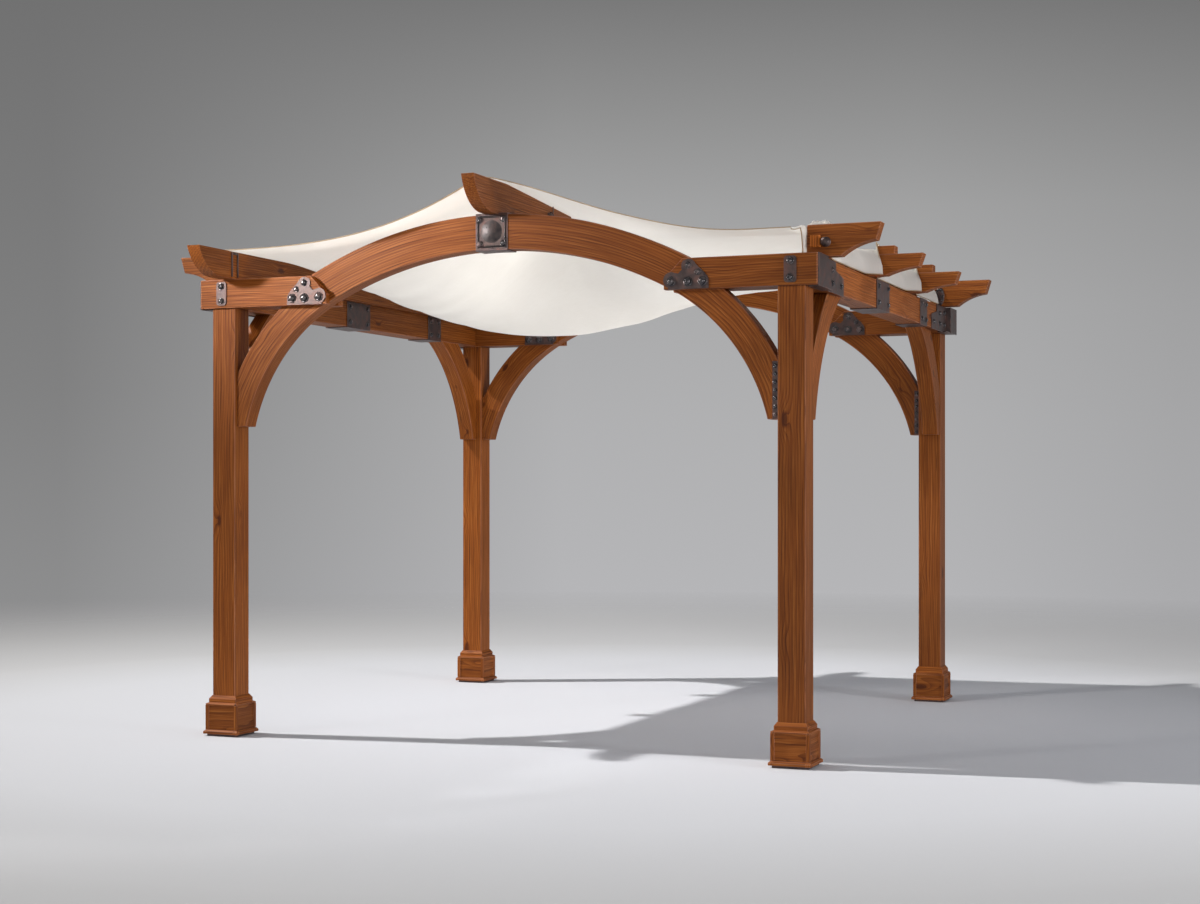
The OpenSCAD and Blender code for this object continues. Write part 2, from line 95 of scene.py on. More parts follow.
class Graph:
    """A material's or group's node tree with short calls for the nodes used here."""

    def __init__(self, tree):
        self.tree = tree

    def add(self, kind, **settings):
        node = self.tree.nodes.new(kind)
        for key, value in settings.items():
            setattr(node, key, value)
        return node

    def put(self, socket, value):
        if isinstance(value, bpy.types.NodeSocket):
            self.tree.links.new(value, socket)
        else:
            socket.default_value = value

    def math(self, op, a, b=0.0, c=0.0):
        node = self.add("ShaderNodeMath", operation=op)
        for socket, value in zip(node.inputs, (a, b, c)):
            self.put(socket, value)
        return node.outputs[0]

    def length(self, a, b):
        squares = self.math("ADD", self.math("MULTIPLY", a, a), self.math("MULTIPLY", b, b))
        return self.math("SQRT", squares)

    def vector(self, x, y, z):
        node = self.add("ShaderNodeCombineXYZ")
        for socket, value in zip(node.inputs, (x, y, z)):
            self.put(socket, value)
        return node.outputs[0]

    def split(self, vector):
        node = self.add("ShaderNodeSeparateXYZ")
        self.put(node.inputs[0], vector)
        return node.outputs[0], node.outputs[1], node.outputs[2]

    def noise(self, vector, scale=1.0, detail=2.0, rough=0.5):
        node = self.add("ShaderNodeTexNoise")
        self.put(node.inputs["Vector"], vector)
        self.put(node.inputs["Scale"], scale)
        self.put(node.inputs["Detail"], detail)
        self.put(node.inputs["Roughness"], rough)
        return node.outputs["Fac"]

    def ramp(self, factor, *stops):
        node = self.add("ShaderNodeValToRGB")
        ramp = node.color_ramp
        while len(ramp.elements) < len(stops):
            ramp.elements.new(0.5)
        for element, (place, colour) in zip(ramp.elements, stops):
            element.position = place
            element.color = (*colour, 1.0)
        self.put(node.inputs[0], factor)
        return node.outputs[0]

    def range(self, value, low, high, to_low=0.0, to_high=1.0):
        node = self.add("ShaderNodeMapRange", clamp=True)
        for socket, item in zip(node.inputs, (value, low, high, to_low, to_high)):
            self.put(socket, item)
        return node.outputs[0]

    def mix(self, factor, a, b, blend="MIX"):
        node = self.add("ShaderNodeMix", data_type="RGBA", blend_type=blend)
        self.put(node.inputs["Factor"], factor)
        self.put(node.inputs[6], a)
        self.put(node.inputs[7], b)
        return node.outputs[2]

    def dim(self, colour, factor):
        return self.mix(1.0, colour, self.vector(factor, factor, factor), "MULTIPLY")

    def lift(self, colour, value, saturation=1.0):
        node = self.add("ShaderNodeHueSaturation")
        self.put(node.inputs["Color"], colour)
        self.put(node.inputs["Value"], value)
        self.put(node.inputs["Saturation"], saturation)
        return node.outputs["Color"]

    def bump(self, height, strength, distance):
        node = self.add("ShaderNodeBump")
        self.put(node.inputs["Strength"], strength)
        self.put(node.inputs["Distance"], distance)
        self.put(node.inputs["Height"], height)
        return node.outputs["Normal"]

    def blend_shaders(self, factor, one, two):
        node = self.add("ShaderNodeMixShader")
        self.put(node.inputs[0], factor)
        self.put(node.inputs[1], one.outputs[0])
        self.put(node.inputs[2], two.outputs[0])
        self.put(self.tree.nodes["Material Output"].inputs["Surface"], node.outputs[0])

    def object_coords(self):
        return self.add("ShaderNodeTexCoord").outputs["Object"]


def new_material(name):
    material = bpy.data.materials.new(name)
    material.use_nodes = True
    graph = Graph(material.node_tree)
    shader = material.node_tree.nodes["Principled BSDF"]
    return material, graph, shader


# Timber

STAIN_LIGHT = (0.41, 0.142, 0.026)
STAIN_MID = (0.240, 0.063, 0.0070)
STAIN_DARK = (0.085, 0.019, 0.0030)
CHECK_DARK = (0.055, 0.02, 0.008, 1.0)
CHECK_STRENGTH = 0.75
RINGS_PER_M = 88.0
LATE_POWER = 2.6
SEED_SHIFT = 7.31
PITH_A, PITH_SWING_A = 0.13, 0.05
PITH_B, PITH_SWING_B = 0.03, 0.06
KNOT_BEND, WARP_BEND = 2.6, 4.6
RING_SHARE, FIBRE_SHARE, STREAK_SHARE, KNOT_SHARE = 0.20, 0.58, 0.40, 0.30
FIBRE_DEPTH, RING_DEPTH, CHECK_DEPTH = 0.5, 0.35, 1.2
TIMBER_BUMP, TIMBER_BUMP_DEPTH = 0.35, 0.0016
TIMBER_SPECULAR = 0.18
# The rounded edge strips get a lighter, paler copy of the stain: a painted highlight along the edges.
EDGE_HIGHLIGHT_VALUE, EDGE_HIGHLIGHT_SATURATION = 1.28, 0.88

# Pattern scales per metre, first across the grain and then along it
WARP_SCALE = (5.0, 1.1)
KNOT_SCALE = (7.0, 2.6)
FIBRE_SCALE = (210.0, 4.0)
STREAK_SCALE = (105.0, 1.7)
PATCH_SCALE = (3.0, 1.4)
CHECK_SCALE = (75.0, 2.3)

# Ranges of a pattern, and then of what it sets where that isn't 0 to 1
NEAR_KNOT = (0.42, 0.05)
KNOT_HEART = (0.13, 0.07)
CHECK_EDGES = (0.735, 0.775)
PATCH_TONES = (0.28, 0.72, 0.80, 1.16)
FIBRE_ROUGHNESS = (0.3, 0.75, 0.46, 0.66)
STAIN_STOPS = ((0.30, STAIN_LIGHT), (0.53, STAIN_MID), (0.78, STAIN_DARK))


def timber_group():
    """Grain pattern in a space whose third axis runs along the timber."""
    tree = bpy.data.node_groups.new("timber_grain", "ShaderNodeTree")
    face = tree.interface
    face.new_socket("Grain", in_out="INPUT", socket_type="NodeSocketVector")
    face.new_socket("Seed", in_out="INPUT", socket_type="NodeSocketFloat")
    face.new_socket("Color", in_out="OUTPUT", socket_type="NodeSocketColor")
    face.new_socket("Roughness", in_out="OUTPUT", socket_type="NodeSocketFloat")
    face.new_socket("Height", in_out="OUTPUT", socket_type="NodeSocketFloat")
    g = Graph(tree)
    given = g.add("NodeGroupInput")
    made = g.add("NodeGroupOutput")
    a, b, along = g.split(given.outputs["Grain"])
    shift = g.math("MULTIPLY", given.outputs["Seed"], SEED_SHIFT)
    along = g.math("ADD", along, shift)

    def stretched(scale):
        across_scale, along_scale = scale
        return g.vector(g.math("MULTIPLY", a, across_scale), g.math("MULTIPLY", b, across_scale),
                        g.math("MULTIPLY", along, along_scale))

    # Growth rings about a pith line outside the timber, bent round the knots
    warp = g.noise(stretched(WARP_SCALE), detail=3.0, rough=0.55)
    pith_a = g.math("ADD", a, g.math("MULTIPLY_ADD", g.math("SINE", shift), PITH_SWING_A, PITH_A))
    pith_b = g.math("ADD", b, g.math("MULTIPLY_ADD", g.math("COSINE", shift), PITH_SWING_B, PITH_B))
    radius = g.length(pith_a, pith_b)
    knot = g.add("ShaderNodeTexVoronoi")
    g.put(knot.inputs["Vector"], stretched(KNOT_SCALE))
    knot.inputs["Scale"].default_value = 1.0
    near = g.range(knot.outputs["Distance"], *NEAR_KNOT)
    bend = g.math("MULTIPLY", warp, WARP_BEND)
    bend = g.math("MULTIPLY_ADD", g.math("MULTIPLY", near, near), KNOT_BEND, bend)
    rings = g.math("FRACT", g.math("ADD", bend, g.math("MULTIPLY", radius, RINGS_PER_M)))
    late = g.math("POWER", rings, LATE_POWER)

    # Stain from the rings, fibres, streaks and knots, in lighter and darker patches
    fibre = g.noise(stretched(FIBRE_SCALE), detail=4.0, rough=0.62)
    streak = g.noise(stretched(STREAK_SCALE), detail=3.0, rough=0.55)
    heart = g.range(knot.outputs["Distance"], *KNOT_HEART)
    tone = g.math("MULTIPLY_ADD", late, RING_SHARE, g.math("MULTIPLY", fibre, FIBRE_SHARE))
    tone = g.math("MULTIPLY_ADD", streak, STREAK_SHARE, tone)
    tone = g.math("MULTIPLY_ADD", heart, KNOT_SHARE, tone)
    colour = g.ramp(tone, *STAIN_STOPS)
    patch = g.noise(stretched(PATCH_SCALE))
    colour = g.lift(colour, g.range(patch, *PATCH_TONES))

    # Drying checks
    crack = g.noise(stretched(CHECK_SCALE), detail=1.0, rough=0.4)
    check = g.range(crack, *CHECK_EDGES)
    colour = g.mix(g.math("MULTIPLY", check, CHECK_STRENGTH), colour, CHECK_DARK)
    g.put(made.inputs["Color"], colour)
    g.put(made.inputs["Roughness"], g.range(fibre, *FIBRE_ROUGHNESS))
    height = g.math("MULTIPLY_ADD", fibre, -FIBRE_DEPTH, g.math("MULTIPLY", late, -RING_DEPTH))
    g.put(made.inputs["Height"], g.math("MULTIPLY_ADD", check, -CHECK_DEPTH, height))
    return tree


TIMBER = timber_group()


def straight_grain(axis):
    """Grain along one axis."""
    def build(g):
        x, y, z = g.split(g.object_coords())
        order = {"x": (y, z, x), "y": (x, z, y), "z": (x, y, z)}[axis]
        return g.vector(*order)
    return build


def round_grain(g):
    """Level grain along the faces of a plinth, and upright grain on its corner boards."""
    x, y, z = g.split(g.object_coords())
    off_x = g.math("ABSOLUTE", g.math("SUBTRACT", g.math("ABSOLUTE", x), POST_X))
    off_y = g.math("ABSOLUTE", g.math("SUBTRACT", g.math("ABSOLUTE", y), POST_Y))
    on_y = g.math("GREATER_THAN", off_y, off_x)
    turn = g.math("MULTIPLY", on_y, g.math("SUBTRACT", x, y))
    along = g.math("ADD", y, turn)
    board = g.math("GREATER_THAN", g.math("MINIMUM", off_x, off_y), CORNER_BOARD)
    swap = g.math("MULTIPLY", board, g.math("SUBTRACT", along, z))
    return g.vector(g.math("ADD", z, swap), g.math("SUBTRACT", x, turn), g.math("SUBTRACT", along, swap))


ARC_GRAIN_R = 1.6  # a middling radius, which sets the grain's length along an arc


def arc_grain(plane, centre_u, centre_z):
    """Grain along an arc in the XZ or YZ plane, the same on both sides of the middle."""
    def build(g):
        x, y, z = g.split(g.object_coords())
        u, across = (x, y) if plane == "x" else (y, x)
        du = g.math("SUBTRACT", g.math("ABSOLUTE", u), centre_u)
        dz = g.math("SUBTRACT", z, centre_z)
        along = g.math("MULTIPLY", g.math("ARCTAN2", du, dz), ARC_GRAIN_R)
        return g.vector(g.length(du, dz), across, along)
    return build


def timber_material(name, grain, seed, highlit_edge=False, tint=1.0):
    material, g, shader = new_material(name)
    group = g.add("ShaderNodeGroup", node_tree=TIMBER)
    g.put(group.inputs["Grain"], grain(g))
    g.put(group.inputs["Seed"], seed)
    # Painted highlight: the edge copy is lighter and paler.
    value = tint * (EDGE_HIGHLIGHT_VALUE if highlit_edge else 1.0)
    saturation = EDGE_HIGHLIGHT_SATURATION if highlit_edge else 1.0
    g.put(shader.inputs["Base Color"], g.lift(group.outputs["Color"], value, saturation))
    g.put(shader.inputs["Roughness"], group.outputs["Roughness"])
    g.put(shader.inputs["Normal"], g.bump(group.outputs["Height"], TIMBER_BUMP, TIMBER_BUMP_DEPTH))
    shader.inputs["Specular IOR Level"].default_value = TIMBER_SPECULAR
    return material


WELD_DISTANCE = 0.00004
EASE_SEGMENTS = 2
EASE_ANGLE = 32.0
TIMBER_EASE, PLINTH_EASE, IRON_EASE = 0.0045, 0.0028, 0.0016


def ease_edges(node, width):
    """Rounds a node's sharp edges a little, with its second material, a painted highlight, on the rounded
    strips.
    """
    weld = node.modifiers.new("weld", "WELD")
    weld.merge_threshold = WELD_DISTANCE
    bevel = node.modifiers.new("eased", "BEVEL")
    bevel.width = width
    bevel.segments = EASE_SEGMENTS
    bevel.limit_method = "ANGLE"
    bevel.angle_limit = math.radians(EASE_ANGLE)
    bevel.material = 1
    normals = node.modifiers.new("normals", "WEIGHTED_NORMAL")
    normals.keep_sharp = True


def finish_node(name, material, highlit_edge, width):
    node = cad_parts[name]
    node.data.materials.clear()
    node.data.materials.append(material)
    node.data.materials.append(highlit_edge)
    ease_edges(node, width)


def grain_of(name):
    if name.startswith(("post_front", "post_rear")):
        return straight_grain("z")
    if "_arch_" in name:
        return arc_grain("x", 0.0, ARCH_CZ)
    if name.startswith("side_brace"):
        return arc_grain("y", BRACE_CY, BRACE_CZ)
    if "_brace_" in name:
        return arc_grain("x", BRACE_CX, BRACE_CZ)
    if name.startswith("side_beam") or name.endswith(("ridge_tail", "purlin")):
        return straight_grain("y")
    if name.startswith("plinth"):
        return round_grain
    return straight_grain("x")


IRON_NODES = ("post_pads", "apex_saddles", "beam_gussets", "post_straps", "corner_brackets", "side_straps",
              "brace_foot_plates")
FIRST_SEED, SEED_STEP = 1.0, 0.73
TINT_SPREAD, TINT_TURN = 0.09, 2.4
timber_nodes = [n for n in sorted(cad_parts) if n not in IRON_NODES and n != "canopy"]
for index, name in enumerate(timber_nodes):
    seed = FIRST_SEED + SEED_STEP * index
    grain = grain_of(name)
    tint = 1.0 + TINT_SPREAD * math.sin(TINT_TURN * index)
    body = timber_material("timber_" + name, grain, seed, tint=tint)
    # A lighter copy for the rounded edge strips, as a painted highlight.
    edge = timber_material("timber_highlit_edge_" + name, grain, seed, highlit_edge=True, tint=tint)
    finish_node(name, body, edge, PLINTH_EASE if "plinth" in name else TIMBER_EASE)


# Ironwork

CLOUD_SCALE, PIT_SCALE, GRIT_SCALE = 24.0, 70.0, 260.0
PIT_SHARE, GRIT_SHARE = 0.7, 0.3
IRON_BUMP, IRON_BUMP_DEPTH = 0.45, 0.0012
IRON_METALLIC = 0.7
DARK_STOP, BASE_STOP, WARM_STOP = 0.32, 0.5, 0.7
SMOOTHER, ROUGHER = 0.1, 0.14
WARM_TONE = (1.75, 1.35, 1.25)
DARK_TONE = (0.6, 0.6, 0.66)


def iron_material(name, base, rough, lift=1.0):
    material, g, shader = new_material(name)
    place = g.object_coords()
    cloud = g.noise(place, CLOUD_SCALE, 4.0, 0.6)
    grit = g.noise(place, GRIT_SCALE, 3.0, 0.6)
    pits = g.noise(place, PIT_SCALE)
    warm = tuple(part * tone for part, tone in zip(base, WARM_TONE))
    dark = tuple(part * tone for part, tone in zip(base, DARK_TONE))
    colour = g.ramp(cloud, (DARK_STOP, dark), (BASE_STOP, base), (WARM_STOP, warm))
    g.put(shader.inputs["Base Color"], g.lift(colour, lift))
    shader.inputs["Metallic"].default_value = IRON_METALLIC
    g.put(shader.inputs["Roughness"], g.range(cloud, 0.3, 0.7, rough - SMOOTHER, rough + ROUGHER))
    height = g.math("MULTIPLY_ADD", grit, GRIT_SHARE, g.math("MULTIPLY", pits, PIT_SHARE))
    g.put(shader.inputs["Normal"], g.bump(height, IRON_BUMP, IRON_BUMP_DEPTH))
    return material


IRON = (0.090, 0.064, 0.061)
BOLT_IRON = (0.10, 0.092, 0.096)
PRESSED_IRON = (0.045, 0.038, 0.039)
iron = iron_material("dark_iron", IRON, rough=0.46)
# A lighter, glossier copy for the rounded edge strips: a painted highlight.
iron_highlit_edge = iron_material("dark_iron_edge", IRON, rough=0.36, lift=1.9)
bolt_iron = iron_material("bolt_iron", BOLT_IRON, rough=0.22)
relief_iron = iron_material("pressed_iron", PRESSED_IRON, rough=0.34)
for name in IRON_NODES:
    finish_node(name, iron, iron_highlit_edge, IRON_EASE)


# Mesh helpers

def smooth(t):
    t = np.clip(t, 0.0, 1.0)
    return t * t * (3.0 - 2.0 * t)


def mesh_object(name, verts, faces, material, rounded=True):
    mesh = bpy.data.meshes.new(name)
    mesh.from_pydata([tuple(v) for v in verts], [], [tuple(f) for f in faces])
    mesh.update()
    mesh.materials.append(material)
    if rounded:
        mesh.shade_smooth()
    piece = bpy.data.objects.new(name, mesh)
    bpy.context.scene.collection.objects.link(piece)
    return piece


def grid_faces(rows, columns):
    """Quads over rows of points."""
    faces = []
    for j in range(rows - 1):
        for i in range(columns - 1):
            a = j * columns + i
            faces.append((a, a + 1, a + columns + 1, a + columns))
    return faces


def band_faces(rings, sides):
    """Quads between closed rings of points."""
    faces = []
    for ring in range(rings - 1):
        for k in range(sides):
            a = ring * sides + k
            b = ring * sides + (k + 1) % sides
            faces.append((a, b, b + sides, a + sides))
    return faces


def turn_to(normal):
    return Vector((0, 0, 1)).rotation_difference(Vector(normal)).to_matrix()


def lathe(profile, sides, centre, normal):
    """A turned shape: (radius, height) pairs up along a normal, closed by its last ring."""
    turn = turn_to(normal)
    verts = []
    for radius, height in profile:
        for k in range(sides):
            angle = 2 * math.pi * k / sides
            local = Vector((radius * math.cos(angle), radius * math.sin(angle), height))
            verts.append(Vector(centre) + turn @ local)
    faces = band_faces(len(profile), sides)
    faces.append(tuple(range((len(profile) - 1) * sides, len(profile) * sides)))
    return verts, faces


class Pile:
    """Collects many small shapes into one mesh."""

    def __init__(self):
        self.verts = []
        self.faces = []

    def add(self, verts, faces):
        start = len(self.verts)
        self.verts.extend(verts)
        self.faces.extend(tuple(start + i for i in face) for face in faces)

    def piece(self, name, material, slot, rounded=True):
        piece = mesh_object(name, self.verts, self.faces, material, rounded)
        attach(piece, "root")
        return piece


# Bolts on the gussets, straps, saddles, brackets and brace plates

WASHER = [(0.0165, -0.001), (0.0165, 0.0016), (0.0150, 0.0026), (0.0112, 0.0030)]
HEAD = [(0.0112, 0.0030), (0.0112, 0.0078), (0.0098, 0.0100), (0.0062, 0.0114), (0.0022, 0.0119)]
BOLT_SIDES = 14


def bolt(pile, centre, normal, scale=1.0):
    """A washer with a domed bolt head."""
    profile = [(r * scale, h * scale) for r, h in WASHER + HEAD]
    pile.add(*lathe(profile, BOLT_SIDES, centre, normal))


GUSSET_IN = beam_low.x
GUSSET_BOLTS = [(0.042, 0.040, 1.5), (0.128, 0.036, 1.5), (0.203, 0.036, 1.5), (0.130, 0.116, 1.1),
                (0.178, 0.083, 1.0)]
POST_STRAP_RISE, POST_STRAP_SIZE = 0.040, 1.15
SADDLE_BOLT_X, SADDLE_BOLT_Z, SADDLE_BOLT_SIZE = 0.066, 0.062, 1.1
SIDE_STRAPS = ((strap_low.y + MIDDLE_STRAP_HALF, 0.105), (strap_high.y - OUTER_STRAP_HALF, 0.054))
SIDE_STRAP_RISE = 0.045
BRACKET_BOLTS = [(0.06, 0.04), (0.06, 0.115), (0.19, 0.105), (0.19, 0.04), (0.36, 0.04)]
FOOT_STUDS, FOOT_STUD_SIZE, FOOT_MARGIN = 7, 0.72, 0.022

bolts = Pile()
for sx, sy in CORNERS:
    for face in (-1, 1):
        y = sy * POST_Y + face * (BEAM_T / 2 + PLATE_T)
        for u, v, size in GUSSET_BOLTS:
            bolt(bolts, (sx * (GUSSET_IN + u), y, CLEAR_Z + v), (0, face, 0), size)
    y = sy * (POST_Y + BEAM_T / 2 + PLATE_T)
    for v in (-POST_STRAP_RISE, POST_STRAP_RISE):
        bolt(bolts, (sx * POST_X, y, BEAM_MID + v), (0, sy, 0), POST_STRAP_SIZE)
for sy in (FRONT, REAR):
    for face in (-1, 1):
        y = sy * POST_Y + face * (ARCH_T / 2 + PLATE_T)
        for x in (-SADDLE_BOLT_X, SADDLE_BOLT_X):
            for v in (-SADDLE_BOLT_Z, SADDLE_BOLT_Z):
                bolt(bolts, (x, y, SADDLE_Z + v), (0, face, 0), SADDLE_BOLT_SIZE)
for sx in (LEFT, RIGHT):
    for y, half in SIDE_STRAPS:
        for du in (-half, half):
            for v in (-SIDE_STRAP_RISE, SIDE_STRAP_RISE):
                bolt(bolts, (sx * (side_high.x + PLATE_T), y + du, BEAM_MID + v), (sx, 0, 0))
                bolt(bolts, (sx * (side_low.x - PLATE_T), y + du, BEAM_MID + v), (-sx, 0, 0))
for sx, sy in CORNERS:
    for u, v in BRACKET_BOLTS:
        bolt(bolts, (sx * (side_high.x + PLATE_T), sy * (side_high.y - u), CLEAR_Z + v), (sx, 0, 0))
foot_step = (foot_high.z - foot_low.z - 2 * FOOT_MARGIN) / (FOOT_STUDS - 1)
for sx, sy in CORNERS:
    face = -sx
    x = sx * (POST_X - POST_W / 2 - FOOT_PLATE_HALF)
    y = sy * POST_Y + face * (ARCH_T / 2 + PLATE_T)
    for k in range(FOOT_STUDS):
        z = foot_low.z + FOOT_MARGIN + k * foot_step
        bolt(bolts, (x, y, z), (0, face, 0), FOOT_STUD_SIZE)
bolts.piece("bolt_heads", bolt_iron, "ironwork")


def block(pile, low, high, ease=0.002):
    """A box with chamfered edges round its largest faces."""
    low, high = Vector(low), Vector(high)
    size = high - low
    thin = min(range(3), key=lambda k: size[k])
    flat = [k for k in range(3) if k != thin]
    levels = ((0.0, ease), (ease, 0.0), (size[thin] - ease, 0.0), (size[thin], ease))
    verts = []
    for level, inset in levels:
        for du, dv in ((0, 0), (1, 0), (1, 1), (0, 1)):
            v = Vector(low)
            v[thin] += level
            for k, d in zip(flat, (du, dv)):
                v[k] += inset + d * (size[k] - 2 * inset)
            verts.append(v)
    pile.add(verts, [(0, 1, 2, 3), (12, 13, 14, 15)] + band_faces(len(levels), 4))


def ring(pile, centre, normal, radius, wire, sides=20, round_sides=8):
    """A wire ring that lies across a normal."""
    turn = turn_to(normal)
    verts, faces = [], []
    for k in range(sides):
        angle = 2 * math.pi * k / sides
        for m in range(round_sides):
            swing = 2 * math.pi * m / round_sides
            r = radius + wire * math.cos(swing)
            local = Vector((r * math.cos(angle), r * math.sin(angle), wire * math.sin(swing)))
            verts.append(Vector(centre) + turn @ local)
    for k in range(sides):
        for m in range(round_sides):
            a = k * round_sides + m
            b = k * round_sides + (m + 1) % round_sides
            c = ((k + 1) % sides) * round_sides
            faces.append((a, b, c + (m + 1) % round_sides, c + m))
    pile.add(verts, faces)


# Pressed reliefs on the faces of the apex saddles

RELIEF_HALF = 0.082
RELIEF_STEPS = 44
RELIEF_SINK = 0.0004
RIM_HEIGHT = 0.0060
RIM_START, RIM_RISE = 0.86, 0.05
RIM_END, RIM_FALL = 0.96, 0.04
DOME_HEIGHT, DOME_R = 0.006, 0.070


def relief_height(u, v):
    """A rim round a panel that swells to a low, wide dome."""
    out = max(abs(u), abs(v)) / RELIEF_HALF
    rise = float(smooth((out - RIM_START) / RIM_RISE))
    fall = float(smooth((out - RIM_END) / RIM_FALL))
    rim = RIM_HEIGHT * rise * (1.0 - fall)
    turn = math.pi * min(math.hypot(u, v) / DOME_R, 1.0)
    dome = DOME_HEIGHT * (0.5 + 0.5 * math.cos(turn))
    return max(rim, dome) - RELIEF_SINK


def grid_outline(n):
    """Points round the edge of a square grid, in turn."""
    near = list(range(n))
    right = [j * n + n - 1 for j in range(1, n)]
    far = [(n - 1) * n + i for i in range(n - 2, -1, -1)]
    left = [j * n for j in range(n - 2, 0, -1)]
    return near + right + far + left


reliefs = Pile()
line = np.linspace(-RELIEF_HALF, RELIEF_HALF, RELIEF_STEPS)
outline = tuple(grid_outline(RELIEF_STEPS))
for sy in (FRONT, REAR):
    for face in (-1, 1):
        y = sy * POST_Y + face * (ARCH_T / 2 + PLATE_T)
        verts = [Vector((u, y + face * relief_height(u, v), SADDLE_Z + v)) for v in line for u in line]
        quads = grid_faces(RELIEF_STEPS, RELIEF_STEPS)
        faces = [quad if face < 0 else quad[::-1] for quad in quads]
        faces.append(outline[::-1] if face < 0 else outline)
        reliefs.add(verts, faces)
reliefs.piece("saddle_reliefs", relief_iron, "ironwork")


# Staples on the left purlin, cleats and rings on the ridge tails, knobs and plates on the corner tails

fittings = Pile()
LET_IN = 0.0005

STAPLE_Y = -beam_low.y
STAPLE_W, STAPLE_BAR, STAPLE_T = 0.068, 0.013, 0.006
STAPLE_FOOT = BEAM_TOP + 0.010
STAPLE_TOP = purlin_high.z - 0.004
for sy in (FRONT, REAR):
    x0, x1 = -purlin_low.x - LET_IN, -purlin_low.x + STAPLE_T
    y0, y1 = sy * STAPLE_Y - STAPLE_W / 2, sy * STAPLE_Y + STAPLE_W / 2
    block(fittings, (x0, y0, STAPLE_FOOT), (x1, y0 + STAPLE_BAR, STAPLE_TOP))
    block(fittings, (x0, y1 - STAPLE_BAR, STAPLE_FOOT), (x1, y1, STAPLE_TOP))
    block(fittings, (x0, y0 + STAPLE_BAR, STAPLE_TOP - STAPLE_BAR), (x1, y1 - STAPLE_BAR, STAPLE_TOP))

CLEAT_Y = -ridge_high.y + 0.305
CLEAT_Z = ridge_low.z + 0.079
CLEAT_HALF, CLEAT_T, CLEAT_EASE = 0.034, 0.011, 0.003
CLEAT_FOOT, CLEAT_TOP = CLEAT_Z - 0.020, CLEAT_Z + 0.010
HOOK_BACK, HOOK_HALF, HOOK_T, HOOK_EASE = 0.040, 0.004, 0.004, 0.001
HOOK_TOP = CLEAT_Z + 0.052
RING_OUT, RING_ALONG, RING_DROP = 0.014, 0.012, 0.002
RING_R, RING_WIRE, RING_TURN, RING_TILT = 0.014, 0.004, 0.3, 0.2
for sy in (FRONT, REAR):
    for sx in (LEFT, RIGHT):
        x = sx * ridge_high.x
        y = sy * CLEAT_Y
        near, far = sorted((x - sx * LET_IN, x + sx * CLEAT_T))
        block(fittings, (near, y - CLEAT_HALF, CLEAT_FOOT), (far, y + CLEAT_HALF, CLEAT_TOP), CLEAT_EASE)
        near, far = sorted((x - sx * LET_IN, x + sx * HOOK_T))
        hook_y = y - sy * HOOK_BACK
        low, high = (near, hook_y - HOOK_HALF, CLEAT_FOOT), (far, hook_y + HOOK_HALF, HOOK_TOP)
        block(fittings, low, high, HOOK_EASE)
        place = (x + sx * RING_OUT, y + sy * RING_ALONG, CLEAT_Z - RING_DROP)
        ring(fittings, place, (RING_TURN * sx, 1.0, RING_TILT), RING_R, RING_WIRE)

KNOB = [(0.024, -0.001), (0.025, 0.006), (0.021, 0.009), (0.015, 0.011), (0.014, 0.017), (0.020, 0.021),
        (0.022, 0.027), (0.019, 0.033), (0.010, 0.036), (0.003, 0.0365)]
KNOB_SIDES = 20
KNOB_X, KNOB_Z = TAIL_IN + 0.096, BEAM_TOP + 0.070
OVAL_X, OVAL_Z = TAIL_IN + 0.060, BEAM_TOP + 0.064
OVAL_HALF_W, OVAL_HALF_H = 0.030, 0.058
OVAL_T = 0.0055
OVAL_LEVELS = ((-0.001, 1.0), (0.004, 1.0), (OVAL_T, 0.92))
OVAL_SIDES = 28
TAIL_FACE_OUT = CORNER_ROW + TAIL_HALF
TAIL_FACE_IN = CORNER_ROW - TAIL_HALF


def oval_plate(pile, x, y, z, out):
    """An upright oval plate with an eased edge, which faces along Y to the side that out gives."""
    n = OVAL_SIDES
    verts = []
    for depth, grow in OVAL_LEVELS:
        for k in range(n):
            angle = 2 * math.pi * k / n
            verts.append(Vector((x + grow * OVAL_HALF_W * math.cos(angle), y + out * depth,
                                 z + grow * OVAL_HALF_H * math.sin(angle))))
    ends = [tuple(range(n))[::-1], tuple(range(2 * n, 3 * n))]
    pile.add(verts, ends + band_faces(len(OVAL_LEVELS), n))


for sx, sy in CORNERS:
    fittings.add(*lathe(KNOB, KNOB_SIDES, (sx * KNOB_X, sy * TAIL_FACE_OUT, KNOB_Z), (0, sy, 0)))
    oval_plate(fittings, sx * OVAL_X, sy * TAIL_FACE_IN, OVAL_Z, -sy)
fittings.piece("roof_fittings", iron, "ironwork")

STUD_COUNT, STUD_SIZE = 10, 0.42
STUD_RING_W, STUD_RING_H = 0.019, 0.044
studs = Pile()
for sx, sy in CORNERS:
    y = sy * (TAIL_FACE_IN - OVAL_T)
    for k in range(STUD_COUNT):
        angle = 2 * math.pi * k / STUD_COUNT
        x = sx * OVAL_X + STUD_RING_W * math.cos(angle)
        bolt(studs, (x, y, OVAL_Z + STUD_RING_H * math.sin(angle)), (0, -sy, 0), STUD_SIZE)
studs.piece("tail_studs", bolt_iron, "ironwork")

